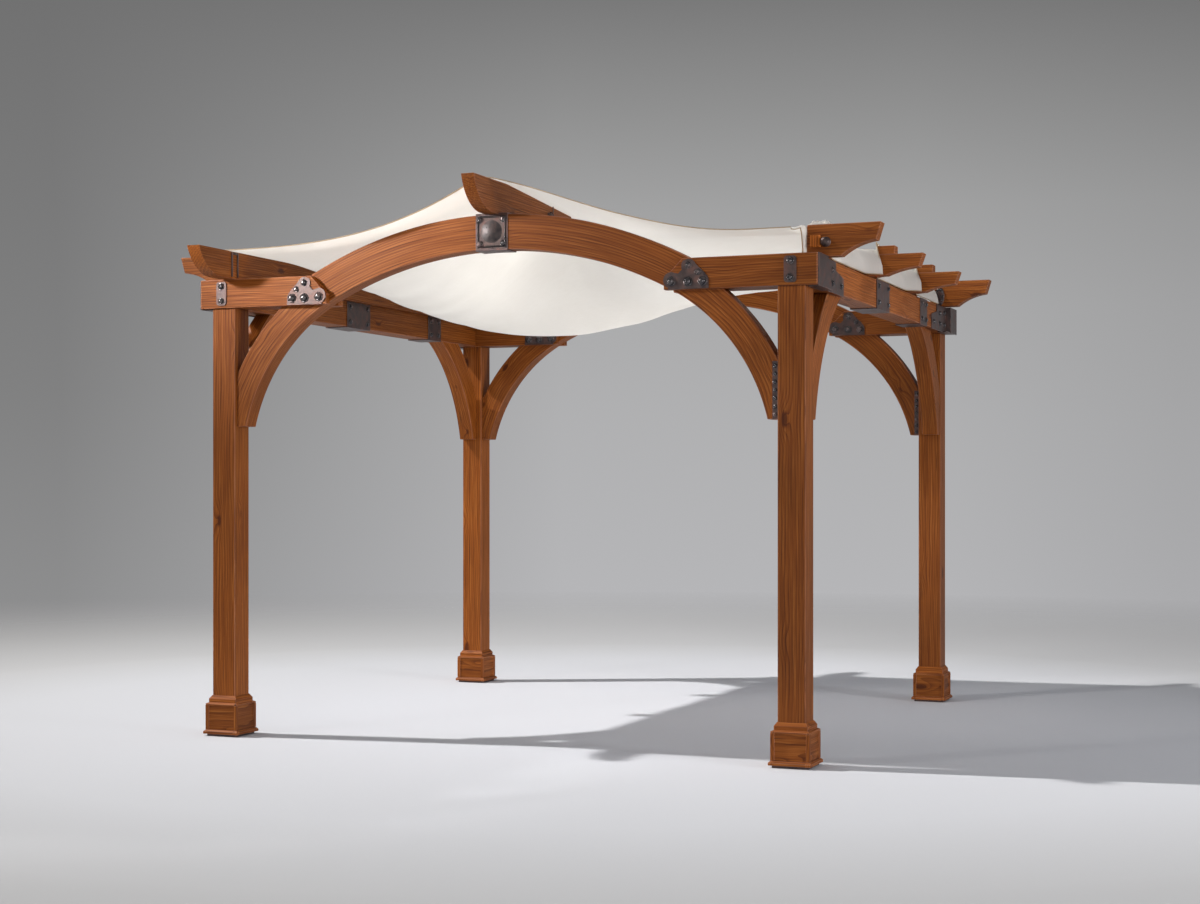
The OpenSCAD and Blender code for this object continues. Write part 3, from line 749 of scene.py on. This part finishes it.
# Pegs beside the knobs
PEG_IN, PEG_OUT = TAIL_IN + 0.020, TAIL_IN + 0.070
PEG_FOOT, PEG_TOP = BEAM_TOP + 0.046, BEAM_TOP + 0.103
PEG_SINK, PEG_PROUD, PEG_EASE = 0.001, 0.022, 0.003
PEG_SEED, PEG_TINT = 51.0, 1.9
pegs = Pile()
for sx, sy in CORNERS:
    y0, y1 = sorted((sy * (TAIL_FACE_OUT - PEG_SINK), sy * (TAIL_FACE_OUT + PEG_PROUD)))
    x0, x1 = sorted((sx * PEG_IN, sx * PEG_OUT))
    block(pegs, (x0, y0, PEG_FOOT), (x1, y1, PEG_TOP), PEG_EASE)
peg_wood = timber_material("timber_pegs", straight_grain("z"), PEG_SEED, tint=PEG_TINT)
pegs.piece("corner_pegs", peg_wood, "trim_timber", rounded=False)


# Canopy: a belly slung between the ridge tails and the purlins

CLOTH_T = 0.0014
CLOTH_LIFT = 0.0015
HEM_OUT = 0.158  # reach of the end hems past the posts' middles
HEM_Y = POST_Y + HEM_OUT
BELLY_X, BELLY_Y, BELLY_Z = -0.30, 0.05, 2.25  # lowest point
BELLY_START = 1.482  # where the cloth starts to sag, from the middle
RIDGE_HALF = ridge_high.x + 0.003
RIDGE_IN_Y = -ridge_high.y
RIDGE_Z = ridge_high.z + CLOTH_LIFT
RIDGE_DROP = 0.058  # fall of the cloth to the ridge tails' inner ends
EAVE_X = purlin_low.x
EAVE_OUT = purlin_high.x
EAVE_Z = purlin_high.z + CLOTH_LIFT
CREASE = 0.45  # reach of the crease beside a ridge tail
LEFT_HEM_POWER, RIGHT_HEM_POWER, RIGHT_HEM_GROWTH = 2.8, 1.15, 2.0
LEFT_BELLY_POWER = 2.4
DROOP = 0.034
DROOP_Y, DROOP_RUN_Y = 1.17, 0.28
DROOP_X, DROOP_RUN_X = 0.75, 0.65

# Pull lines: a wide wave and a fine one, each swaying along its run, in patches
FOLD_HEIGHT = 0.0036
FOLD_X, FOLD_Y = 0.87, 0.50
WIDE_WAVE, WIDE_SWAY, WIDE_SWAY_WAVE, WIDE_PHASE = 21.0, 1.2, 1.9, 0.6
FINE_WAVE, FINE_SWAY, FINE_SWAY_WAVE, FINE_PHASE = 37.0, 0.9, 2.6, 1.0
FINE_SHARE = 0.6
PATCH_ALONG, PATCH_ACROSS = 2.3, 3.1
FOLD_GAP, FOLD_GAP_RUN, FOLD_GAP_Y = 0.02, 0.10, 0.15
FOLD_GROWTH = 1.4


def hem_height(x):
    t = np.clip((np.abs(x) - RIDGE_HALF) / (EAVE_X - RIDGE_HALF), 0.0, 1.0)
    power = np.where(x < 0.0, LEFT_HEM_POWER, RIGHT_HEM_POWER + RIGHT_HEM_GROWTH * t)
    return EAVE_Z + (RIDGE_Z - EAVE_Z) * (1.0 - t) ** power


def end_droop(x, y):
    """Droop of the hems at the right, where no purlin carries them."""
    along = smooth((np.abs(y) - DROOP_Y) / DROOP_RUN_Y)
    return DROOP * along * smooth((x - DROOP_X) / DROOP_RUN_X)


def middle_height(x):
    left = np.clip((BELLY_X - x) / (EAVE_X + BELLY_X), 0.0, 1.0) ** LEFT_BELLY_POWER
    right = smooth((x - BELLY_X) / (EAVE_X - BELLY_X))
    share = np.where(x < BELLY_X, left, right)
    return BELLY_Z + (EAVE_Z - BELLY_Z) * share


def sag(y):
    near = (BELLY_START + y) / (BELLY_START + BELLY_Y)
    far = (BELLY_START - y) / (BELLY_START - BELLY_Y)
    t = np.clip(np.where(y < BELLY_Y, near, far), 0.0, 1.0)
    return t * (2.0 - t)


def belly_share(x, y):
    """Share of the fall from the hem's height to the belly's, with a crease over the ridge tails."""
    end = RIDGE_DROP / (RIDGE_Z - float(middle_height(np.array(-RIDGE_HALF))))
    run = BELLY_START - RIDGE_IN_Y
    side = np.where(y < BELLY_Y, 1.0, -1.0)
    length = RIDGE_IN_Y + side * BELLY_Y
    u = (RIDGE_IN_Y + side * y) / length
    inner = end + (1.0 - end) * u * u * (3.0 - 2.0 * u) + end * length / run * u * (1.0 - u) ** 2
    outer = end * np.clip(BELLY_START - np.abs(y), 0.0, None) / run
    ridge = np.where(np.abs(y) < RIDGE_IN_Y, inner, outer)
    away = np.clip(np.abs(x) - RIDGE_HALF, 0.0, None) / CREASE
    crease = np.exp(-away * away)
    return sag(y) * (1.0 - crease) + ridge * crease


def folds(x, y, share):
    """Soft pull lines across the belly, from the rear left to the front right, clear of the ridge tails."""
    along = FOLD_X * x - FOLD_Y * y
    across = FOLD_Y * x + FOLD_X * y
    wide = np.sin(WIDE_WAVE * across + WIDE_SWAY * np.sin(WIDE_SWAY_WAVE * along) + WIDE_PHASE)
    fine = np.sin(FINE_WAVE * across - FINE_SWAY * np.sin(FINE_SWAY_WAVE * along + FINE_PHASE))
    patch = 0.5 + 0.5 * np.sin(PATCH_ALONG * along + PATCH_ACROSS * across)
    beside = np.clip((np.abs(x) - RIDGE_HALF - FOLD_GAP) / FOLD_GAP_RUN, 0.0, 1.0)
    clear = np.clip(beside + (np.abs(y) < RIDGE_IN_Y - FOLD_GAP_Y), 0.0, 1.0)
    growth = np.clip(share * FOLD_GROWTH, 0.0, 1.0)
    return FOLD_HEIGHT * (wide + FINE_SHARE * fine) * patch * growth * clear


def cloth_height(x, y):
    hem = hem_height(x)
    share = belly_share(x, y)
    low = np.minimum(middle_height(x), hem)
    fall = (low - hem) * share + folds(x, y, share) * (np.abs(x) < EAVE_X)
    return hem + fall - end_droop(x, y)


# Side drapes: each gives places outwards from the purlin for the fall angles at one row

CLAMP_X = clamp_high.x - CLAMP_LENGTH
OVER_TAIL, BESIDE_TAIL, BELOW_TAIL_TOP, CLAMP_GAP = 0.004, 0.003, 0.004, 0.004
OVER_BEAM, PAST_BEAM = 0.005, 0.004
WRAP_MARGIN = 0.002
CURL, CURL_SWING, CURL_WAVE, CURL_START, CURL_POWER = 0.052, 0.010, 160.0, 0.62, 1.5
REACH_PACE, DROP_PACE = 1.25, 1.4
LEVEL_SHARE = 0.6
END_RISE_RUN = 0.25
END_LIFT, END_LIFT_Y, END_LIFT_RUN = 0.92, 1.495, 0.035
CATCH_GAP, CATCH_RUN, CATCH_DROP = 0.010, 0.12, 0.012
WRAP_RUN, WRAP_REACH, WRAP_SQUARE = 0.055, 0.074, 0.50
PLEAT, PLEAT_WAVE, PLEAT_SWAY, PLEAT_SWAY_WAVE = 0.006, 41.0, 1.5, 7.0


def wrapped_drape(y, t):
    """Over the top of a middle tail, with its end curled up at the clamp block."""
    curl = CURL + CURL_SWING * math.sin(CURL_WAVE * y)
    x = EAVE_OUT + (CLAMP_X - CLAMP_GAP - EAVE_OUT) * np.minimum(t * REACH_PACE, 1.0)
    z = EAVE_Z + (middle_high.z + OVER_TAIL - EAVE_Z) * smooth(t * DROP_PACE)
    return x, z + curl * smooth((t - CURL_START) / (1.0 - CURL_START)) ** CURL_POWER


def end_drape(start, y, t):
    """Past a corner tail: level as far as the tail's inner end, then down to the beam."""
    level = np.minimum(t / LEVEL_SHARE, 1.0)
    near = float(smooth((HEM_Y - abs(y)) / END_RISE_RUN))
    top = start + (corner_high.z - BELOW_TAIL_TOP - start) * near * level
    x = EAVE_OUT + (TAIL_IN - BESIDE_TAIL - EAVE_OUT) * level
    lifted = END_LIFT * float(smooth((abs(y) - END_LIFT_Y) / END_LIFT_RUN))
    drop = (top - BEAM_TOP - OVER_BEAM) * (1.0 - lifted)
    return x, top - drop * np.clip((t - LEVEL_SHARE) / (1.0 - LEVEL_SHARE), 0.0, 1.0)


def swag_drape(start, y, fall):
    """Between the tails: a swag, caught at a corner tail and drawn out beside a middle tail."""
    corner = abs(abs(y) - CORNER_ROW) - TAIL_HALF - CATCH_GAP
    caught = float(1.0 - smooth(corner / CATCH_RUN))
    wrap = math.exp(-((abs(abs(y) - MIDDLE_ROW) - TAIL_HALF) / WRAP_RUN) ** 2)
    x_edge = side_high.x + PAST_BEAM + WRAP_REACH * wrap
    x_edge += (TAIL_IN - BESIDE_TAIL - x_edge) * caught
    z_edge = BEAM_TOP + OVER_BEAM
    z_edge += (corner_high.z - CATCH_DROP - z_edge) * caught
    square = 1.0 - WRAP_SQUARE * wrap
    phase = PLEAT_WAVE * y + PLEAT_SWAY * math.sin(PLEAT_SWAY_WAVE * y)
    pleat = PLEAT * (1.0 + wrap) * math.sin(phase)
    x = EAVE_OUT + (x_edge - EAVE_OUT) * np.sin(fall) ** square - abs(pleat) * np.sin(2 * fall)
    z = z_edge + (start - z_edge) * np.abs(np.cos(fall)) ** square + pleat * np.sin(2 * fall)
    return x, z


def drape_profile(side, y, fall):
    t = fall / (math.pi / 2)
    if abs(abs(y) - MIDDLE_ROW) < TAIL_HALF + WRAP_MARGIN:
        return wrapped_drape(y, t)
    start = EAVE_Z - float(end_droop(side * EAVE_OUT, y))
    if abs(y) > TAIL_FACE_OUT:
        return end_drape(start, y, t)
    return swag_drape(start, y, fall)


EAVE_COLUMNS, MIDDLE_COLUMNS, DRAPE_COLUMNS = 5, 141, 15
CLOTH_ROWS = 151
BESIDE_MIDDLE = (-0.0395, -0.0365, 0.0365, 0.0395)
BESIDE_CORNER = (-0.002, 0.002)


def cloth_points():
    """Rows of points from the left drape's edge over the canopy to the right drape's edge."""
    inner = np.concatenate([np.linspace(-EAVE_OUT, -EAVE_X, EAVE_COLUMNS)[:-1],
                            np.linspace(-EAVE_X, EAVE_X, MIDDLE_COLUMNS),
                            np.linspace(EAVE_X, EAVE_OUT, EAVE_COLUMNS)[1:]])
    beside = [end * (MIDDLE_ROW + step) for end in (FRONT, REAR) for step in BESIDE_MIDDLE]
    beside += [end * (TAIL_FACE_OUT + step) for end in (FRONT, REAR) for step in BESIDE_CORNER]
    even = np.linspace(-HEM_Y, HEM_Y, CLOTH_ROWS)
    ys = np.unique(np.concatenate([even, [-RIDGE_IN_Y, RIDGE_IN_Y], beside]))
    fall = np.linspace(0.0, math.pi / 2, DRAPE_COLUMNS)[1:]
    rows = []
    for y in ys:
        z = cloth_height(inner, np.full_like(inner, y))
        right = list(zip(*drape_profile(RIGHT, y, fall)))
        left = [(-a, b) for a, b in reversed(list(zip(*drape_profile(LEFT, y, fall))))]
        rows.append([(a, y, b) for a, b in left + list(zip(inner, z)) + right])
    return np.array(rows)


THREADS_PER_M = 1400.0
SLUB_X, SLUB_Y = 30.0, 420.0
CLOTH_CLOUD_SCALE = 2.2
SLUB_SHARE, CLOUD_SHARE = 0.45, 0.55
DARK_CLOTH_STOP, LIGHT_CLOTH_STOP = 0.3, 0.62
WEAVE_SHARE = 0.5
WEAVE_BUMP, WEAVE_BUMP_DEPTH = 0.18, 0.0006
CLOTH_ROUGH, CLOTH_SPECULAR, CLOTH_SHEEN = 0.88, 0.15, 0.12
LIGHT_THROUGH = 0.65
CLOTH_LIGHT, CLOTH_DARK = (0.94, 0.93, 0.912), (0.88, 0.868, 0.845)
HEM_LIGHT, HEM_DARK = (0.66, 0.54, 0.40), (0.54, 0.43, 0.31)


def cloth_material(name, light, dark):
    material, g, shader = new_material(name)
    place = g.object_coords()
    x, y, z = g.split(place)
    warp = g.math("SINE", g.math("MULTIPLY", x, THREADS_PER_M))
    weft = g.math("SINE", g.math("MULTIPLY", y, THREADS_PER_M))
    weave = g.math("MULTIPLY", warp, weft)
    slub_place = g.vector(g.math("MULTIPLY", x, SLUB_X), g.math("MULTIPLY", y, SLUB_Y), z)
    slub = g.noise(slub_place, detail=3.0, rough=0.6)
    cloud = g.noise(place, CLOTH_CLOUD_SCALE, 4.0, 0.55)
    tone = g.math("MULTIPLY_ADD", slub, SLUB_SHARE, g.math("MULTIPLY", cloud, CLOUD_SHARE))
    colour = g.ramp(tone, (DARK_CLOTH_STOP, dark), (LIGHT_CLOTH_STOP, light))
    g.put(shader.inputs["Base Color"], colour)
    shader.inputs["Roughness"].default_value = CLOTH_ROUGH
    shader.inputs["Specular IOR Level"].default_value = CLOTH_SPECULAR
    shader.inputs["Sheen Weight"].default_value = CLOTH_SHEEN
    height = g.math("MULTIPLY_ADD", weave, WEAVE_SHARE, slub)
    g.put(shader.inputs["Normal"], g.bump(height, WEAVE_BUMP, WEAVE_BUMP_DEPTH))
    through = g.add("ShaderNodeBsdfTranslucent")
    g.put(through.inputs["Color"], colour)
    g.blend_shaders(LIGHT_THROUGH, shader, through)
    return material


cloth = cloth_material("canopy_cloth", CLOTH_LIGHT, CLOTH_DARK)
hem_cloth = cloth_material("canopy_hem", HEM_LIGHT, HEM_DARK)

grid = cloth_points()
canopy = mesh_object("canopy_sheet", grid.reshape(-1, 3), grid_faces(*grid.shape[:2]), cloth)
thick = canopy.modifiers.new("cloth", "SOLIDIFY")
thick.thickness = CLOTH_T
thick.offset = 1.0
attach(canopy, "root")
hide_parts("canopy")


# Hems, and cloth crumpled on the right corner tails

def tube(points, half_width, half_thick, name, material, sides=8):
    """A flattened tube along open points."""
    pts = [Vector(p) for p in points]
    verts = []
    for k, p in enumerate(pts):
        ahead = (pts[min(k + 1, len(pts) - 1)] - pts[max(k - 1, 0)]).normalized()
        side = ahead.cross(Vector((0, 0, 1))).normalized()
        up = side.cross(ahead)
        for s in range(sides):
            angle = 2 * math.pi * s / sides
            verts.append(p + side * (half_width * math.cos(angle)) + up * (half_thick * math.sin(angle)))
    faces = band_faces(len(pts), sides)
    faces.append(tuple(reversed(range(sides))))
    faces.append(tuple(range((len(pts) - 1) * sides, len(pts) * sides)))
    return mesh_object(name, verts, faces, material)


END_HEM_HALF, SIDE_HEM_HALF, HEM_HALF_T = 0.007, 0.003, 0.0026
DROP_POINTS = 6  # points at each side that the end hems leave out
for name, edge, half in (("front_hem", grid[0, DROP_POINTS:-DROP_POINTS], END_HEM_HALF),
                         ("rear_hem", grid[-1, DROP_POINTS:-DROP_POINTS], END_HEM_HALF),
                         ("left_hem", grid[:, 0], SIDE_HEM_HALF),
                         ("right_hem", grid[:, -1], SIDE_HEM_HALF)):
    hem = tube(edge, half, HEM_HALF_T, name, hem_cloth)
    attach(hem, "root")


HEAP_LOW, HEAP_EDGE, HEAP_DRIFT = 0.35, 6.0, 0.004


def crumple(pile, low, high, height, seed, steps=22):
    """A small heap of crumpled cloth on a level patch."""
    (x0, y0, z0), (x1, y1) = low, high
    verts = []
    for j in range(steps):
        for i in range(steps):
            u, v = i / (steps - 1), j / (steps - 1)
            one = math.sin(9.0 * u + 4.0 * math.sin(5.0 * v + seed))
            two = math.sin(7.0 * v + 2.0 * math.sin(8.0 * u + seed))
            rise = HEAP_LOW + (1.0 - HEAP_LOW) * abs(one * two)
            edge = min(1.0, HEAP_EDGE * min(u, 1 - u, v, 1 - v))
            drift = HEAP_DRIFT * math.sin(11.0 * u + 6.0 * v + seed)
            x, y = x0 + (x1 - x0) * u, y0 + (y1 - y0) * v
            verts.append(Vector((x, y + drift * edge, z0 + height * rise * edge)))
    pile.add(verts, grid_faces(steps, steps))


HEAP_IN, HEAP_OUT = TAIL_IN + 0.004, TAIL_IN + 0.115
HEAP_FOOT = corner_high.z + 0.0008
HEAP_HEIGHT, HEAP_SEED = 0.022, 1.3
heaps = Pile()
for sy in (FRONT, REAR):
    near, far = sorted((sy * TAIL_FACE_IN, sy * TAIL_FACE_OUT))
    crumple(heaps, (HEAP_IN, near, HEAP_FOOT), (HEAP_OUT, far), HEAP_HEIGHT, HEAP_SEED + sy)
heap = heaps.piece("cloth_heaps", cloth, "canopy_cloth")
folded = heap.modifiers.new("cloth", "SOLIDIFY")
folded.thickness = CLOTH_T


# Floor, with a painted pool of light

FLOOR_HALF = 40.0
FLOOR_REACH = 10.0
FLOOR_LIGHT_STOPS = ((0.16, (0.55, 0.570, 0.625)), (0.37, (0.525, 0.541, 0.582)),
               (0.52, (0.455, 0.463, 0.484)), (0.80, (0.43, 0.433, 0.446)))
FLOOR_PAINTED_LIGHT_X, FLOOR_PAINTED_LIGHT_Y, FLOOR_PAINTED_LIGHT = 0.060, 0.046, 1.27
FLOOR_PAINTED_LIGHT_LOW, FLOOR_PAINTED_LIGHT_HIGH = 0.75, 1.45
FLOOR_ROUGH, FLOOR_SPECULAR = 0.9, 0.1
FADE_START, FADE_END, FADE_POWER = 5.0, 13.5, 0.9


def floor_material():
    """Pale floor with a painted pool of light: brightest round the object, brighter towards the right and
    the rear, and fading into the backdrop.
    """
    material, g, shader = new_material("floor_pale")
    x, y, _ = g.split(g.object_coords())
    reach = g.length(x, y)
    # Painted light: the colour falls away from the object like a pool of light.
    colour = g.ramp(g.range(reach, 0.0, FLOOR_REACH), *FLOOR_LIGHT_STOPS)
    # Painted light: brighter towards the right and the rear.
    painted_light = g.math("MULTIPLY_ADD", x, FLOOR_PAINTED_LIGHT_X, g.math("MULTIPLY_ADD", y, FLOOR_PAINTED_LIGHT_Y, FLOOR_PAINTED_LIGHT))
    painted_light = g.math("MINIMUM", g.math("MAXIMUM", painted_light, FLOOR_PAINTED_LIGHT_LOW), FLOOR_PAINTED_LIGHT_HIGH)
    g.put(shader.inputs["Base Color"], g.dim(colour, painted_light))
    shader.inputs["Roughness"].default_value = FLOOR_ROUGH
    shader.inputs["Specular IOR Level"].default_value = FLOOR_SPECULAR
    clear = g.add("ShaderNodeBsdfTransparent")
    fade = g.math("POWER", g.range(reach, FADE_START, FADE_END), FADE_POWER)
    g.blend_shaders(fade, shader, clear)
    return material


floor_corners = [(-FLOOR_HALF, -FLOOR_HALF, 0), (FLOOR_HALF, -FLOOR_HALF, 0),
                 (FLOOR_HALF, FLOOR_HALF, 0), (-FLOOR_HALF, FLOOR_HALF, 0)]
floor = mesh_object("floor", floor_corners, [(0, 1, 2, 3)], floor_material(), rounded=False)


# Backdrop: a grey that is brightest low in the middle, and a dimmer even light from all round

AMBIENT = (0.212, 0.215, 0.222, 1.0)
GLOW_STOPS = ((0.0, (0.467, 0.467, 0.48)), (0.30, (0.436, 0.436, 0.444)), (0.49, (0.407, 0.407, 0.412)),
              (0.655, (0.358, 0.358, 0.360)), (0.82, (0.274, 0.274, 0.274)), (1.0, (0.186, 0.186, 0.186)))
DIM_STOPS = ((0.0, (0.268, 0.268, 0.271)), (0.35, (0.218, 0.218, 0.219)), (1.0, (0.162, 0.162, 0.162)))
BACKDROP_LOW, BACKDROP_HIGH = -0.06, 0.25
BACKDROP_X, BACKDROP_Y = 0.927, 0.374
GLOW_FROM, GLOW_TO = -0.27, -0.02
FALL_FROM, FALL_TO, FALL_SHARE = 0.16, 0.29, 0.13

scene = bpy.context.scene
scene.view_settings.view_transform = "Standard"
world = bpy.data.worlds.new("studio")
world.use_nodes = True
scene.world = world
sky = Graph(world.node_tree)
background = world.node_tree.nodes["Background"]
dx, dy, dz = sky.split(sky.add("ShaderNodeTexCoord").outputs["Generated"])
height = sky.range(dz, BACKDROP_LOW, BACKDROP_HIGH)
across = sky.math("MULTIPLY_ADD", dx, BACKDROP_X, sky.math("MULTIPLY", dy, BACKDROP_Y))
fall = sky.math("MULTIPLY_ADD", sky.range(across, FALL_FROM, FALL_TO), -FALL_SHARE, 1.0)
dim, glow = sky.ramp(height, *DIM_STOPS), sky.ramp(height, *GLOW_STOPS)
shade = sky.mix(sky.range(across, GLOW_FROM, GLOW_TO), dim, glow)
shade = sky.dim(shade, fall)
path = sky.add("ShaderNodeLightPath")
seen = sky.math("MAXIMUM", path.outputs["Is Camera Ray"], path.outputs["Is Transmission Ray"])
seen = sky.math("MAXIMUM", seen, path.outputs["Is Glossy Ray"])
sky.put(background.inputs["Color"], sky.mix(seen, AMBIENT, shade))
background.inputs["Strength"].default_value = 1.0


# Lamps

WARM_LIGHT, SOFT_LIGHT = (1.0, 0.965, 0.91), (1.0, 0.985, 0.96)
FRONT_LIGHT, RIGHT_LIGHT = (1.0, 0.955, 0.88), (1.0, 0.985, 0.965)


def lamp(name, place, target, size, watts, colour, spread=180.0):
    """A round soft lamp that faces a target and stays out of the picture."""
    data = bpy.data.lights.new(name, "AREA")
    data.shape = "DISK"
    data.size = size
    data.energy = watts
    data.color = colour
    data.spread = math.radians(spread)
    obj = bpy.data.objects.new(name, data)
    obj.location = place
    obj.rotation_euler = (Vector(target) - Vector(place)).to_track_quat("-Z", "Y").to_euler()
    obj.visible_camera = False
    scene.collection.objects.link(obj)


lamp("key", (-11.0, -3.0, 13.5), (0.0, 0.0, 1.8), 0.40, 2960.0, WARM_LIGHT)
lamp("front_key", (-6.5, -10.0, 5.5), (-0.4, -1.5, 2.2), 1.2, 138.0, FRONT_LIGHT)
lamp("top_front", (-3.4, -4.6, 3.4), (-0.7, -1.55, 2.75), 0.4, 15.0, WARM_LIGHT, spread=42.0)
lamp("canopy_fill", (4.5, 3.5, 7.5), (0.6, -0.9, 2.62), 0.6, 8.0, SOFT_LIGHT, spread=23.0)
lamp("front_fill", (2.5, -12.5, 2.2), (0.0, 0.0, 1.9), 4.0, 165.0, SOFT_LIGHT)
lamp("right_fill", (10.5, -3.0, 2.3), (0.3, 0.0, 2.6), 2.4, 100.0, RIGHT_LIGHT, spread=80.0)


# Camera, fitted to the photograph

PHOTO_W = 1200
FOCAL_PX = 1918
HORIZON_SHIFT_PX = 34.6
SENSOR_MM = 36.0
CAMERA_PLACE = (4.180, -10.482, 1.350)
CAMERA_TURN = 21.96
VIEW_DEPTH = 200.0
camera_data = bpy.data.cameras.new("camera")
camera_data.sensor_width = SENSOR_MM
camera_data.lens = FOCAL_PX / PHOTO_W * SENSOR_MM
camera_data.shift_y = HORIZON_SHIFT_PX / PHOTO_W
camera_data.clip_end = VIEW_DEPTH
camera = bpy.data.objects.new("camera", camera_data)
camera.location = CAMERA_PLACE
camera.rotation_euler = (math.radians(90), 0, math.radians(CAMERA_TURN))
scene.collection.objects.link(camera)
scene.camera = camera
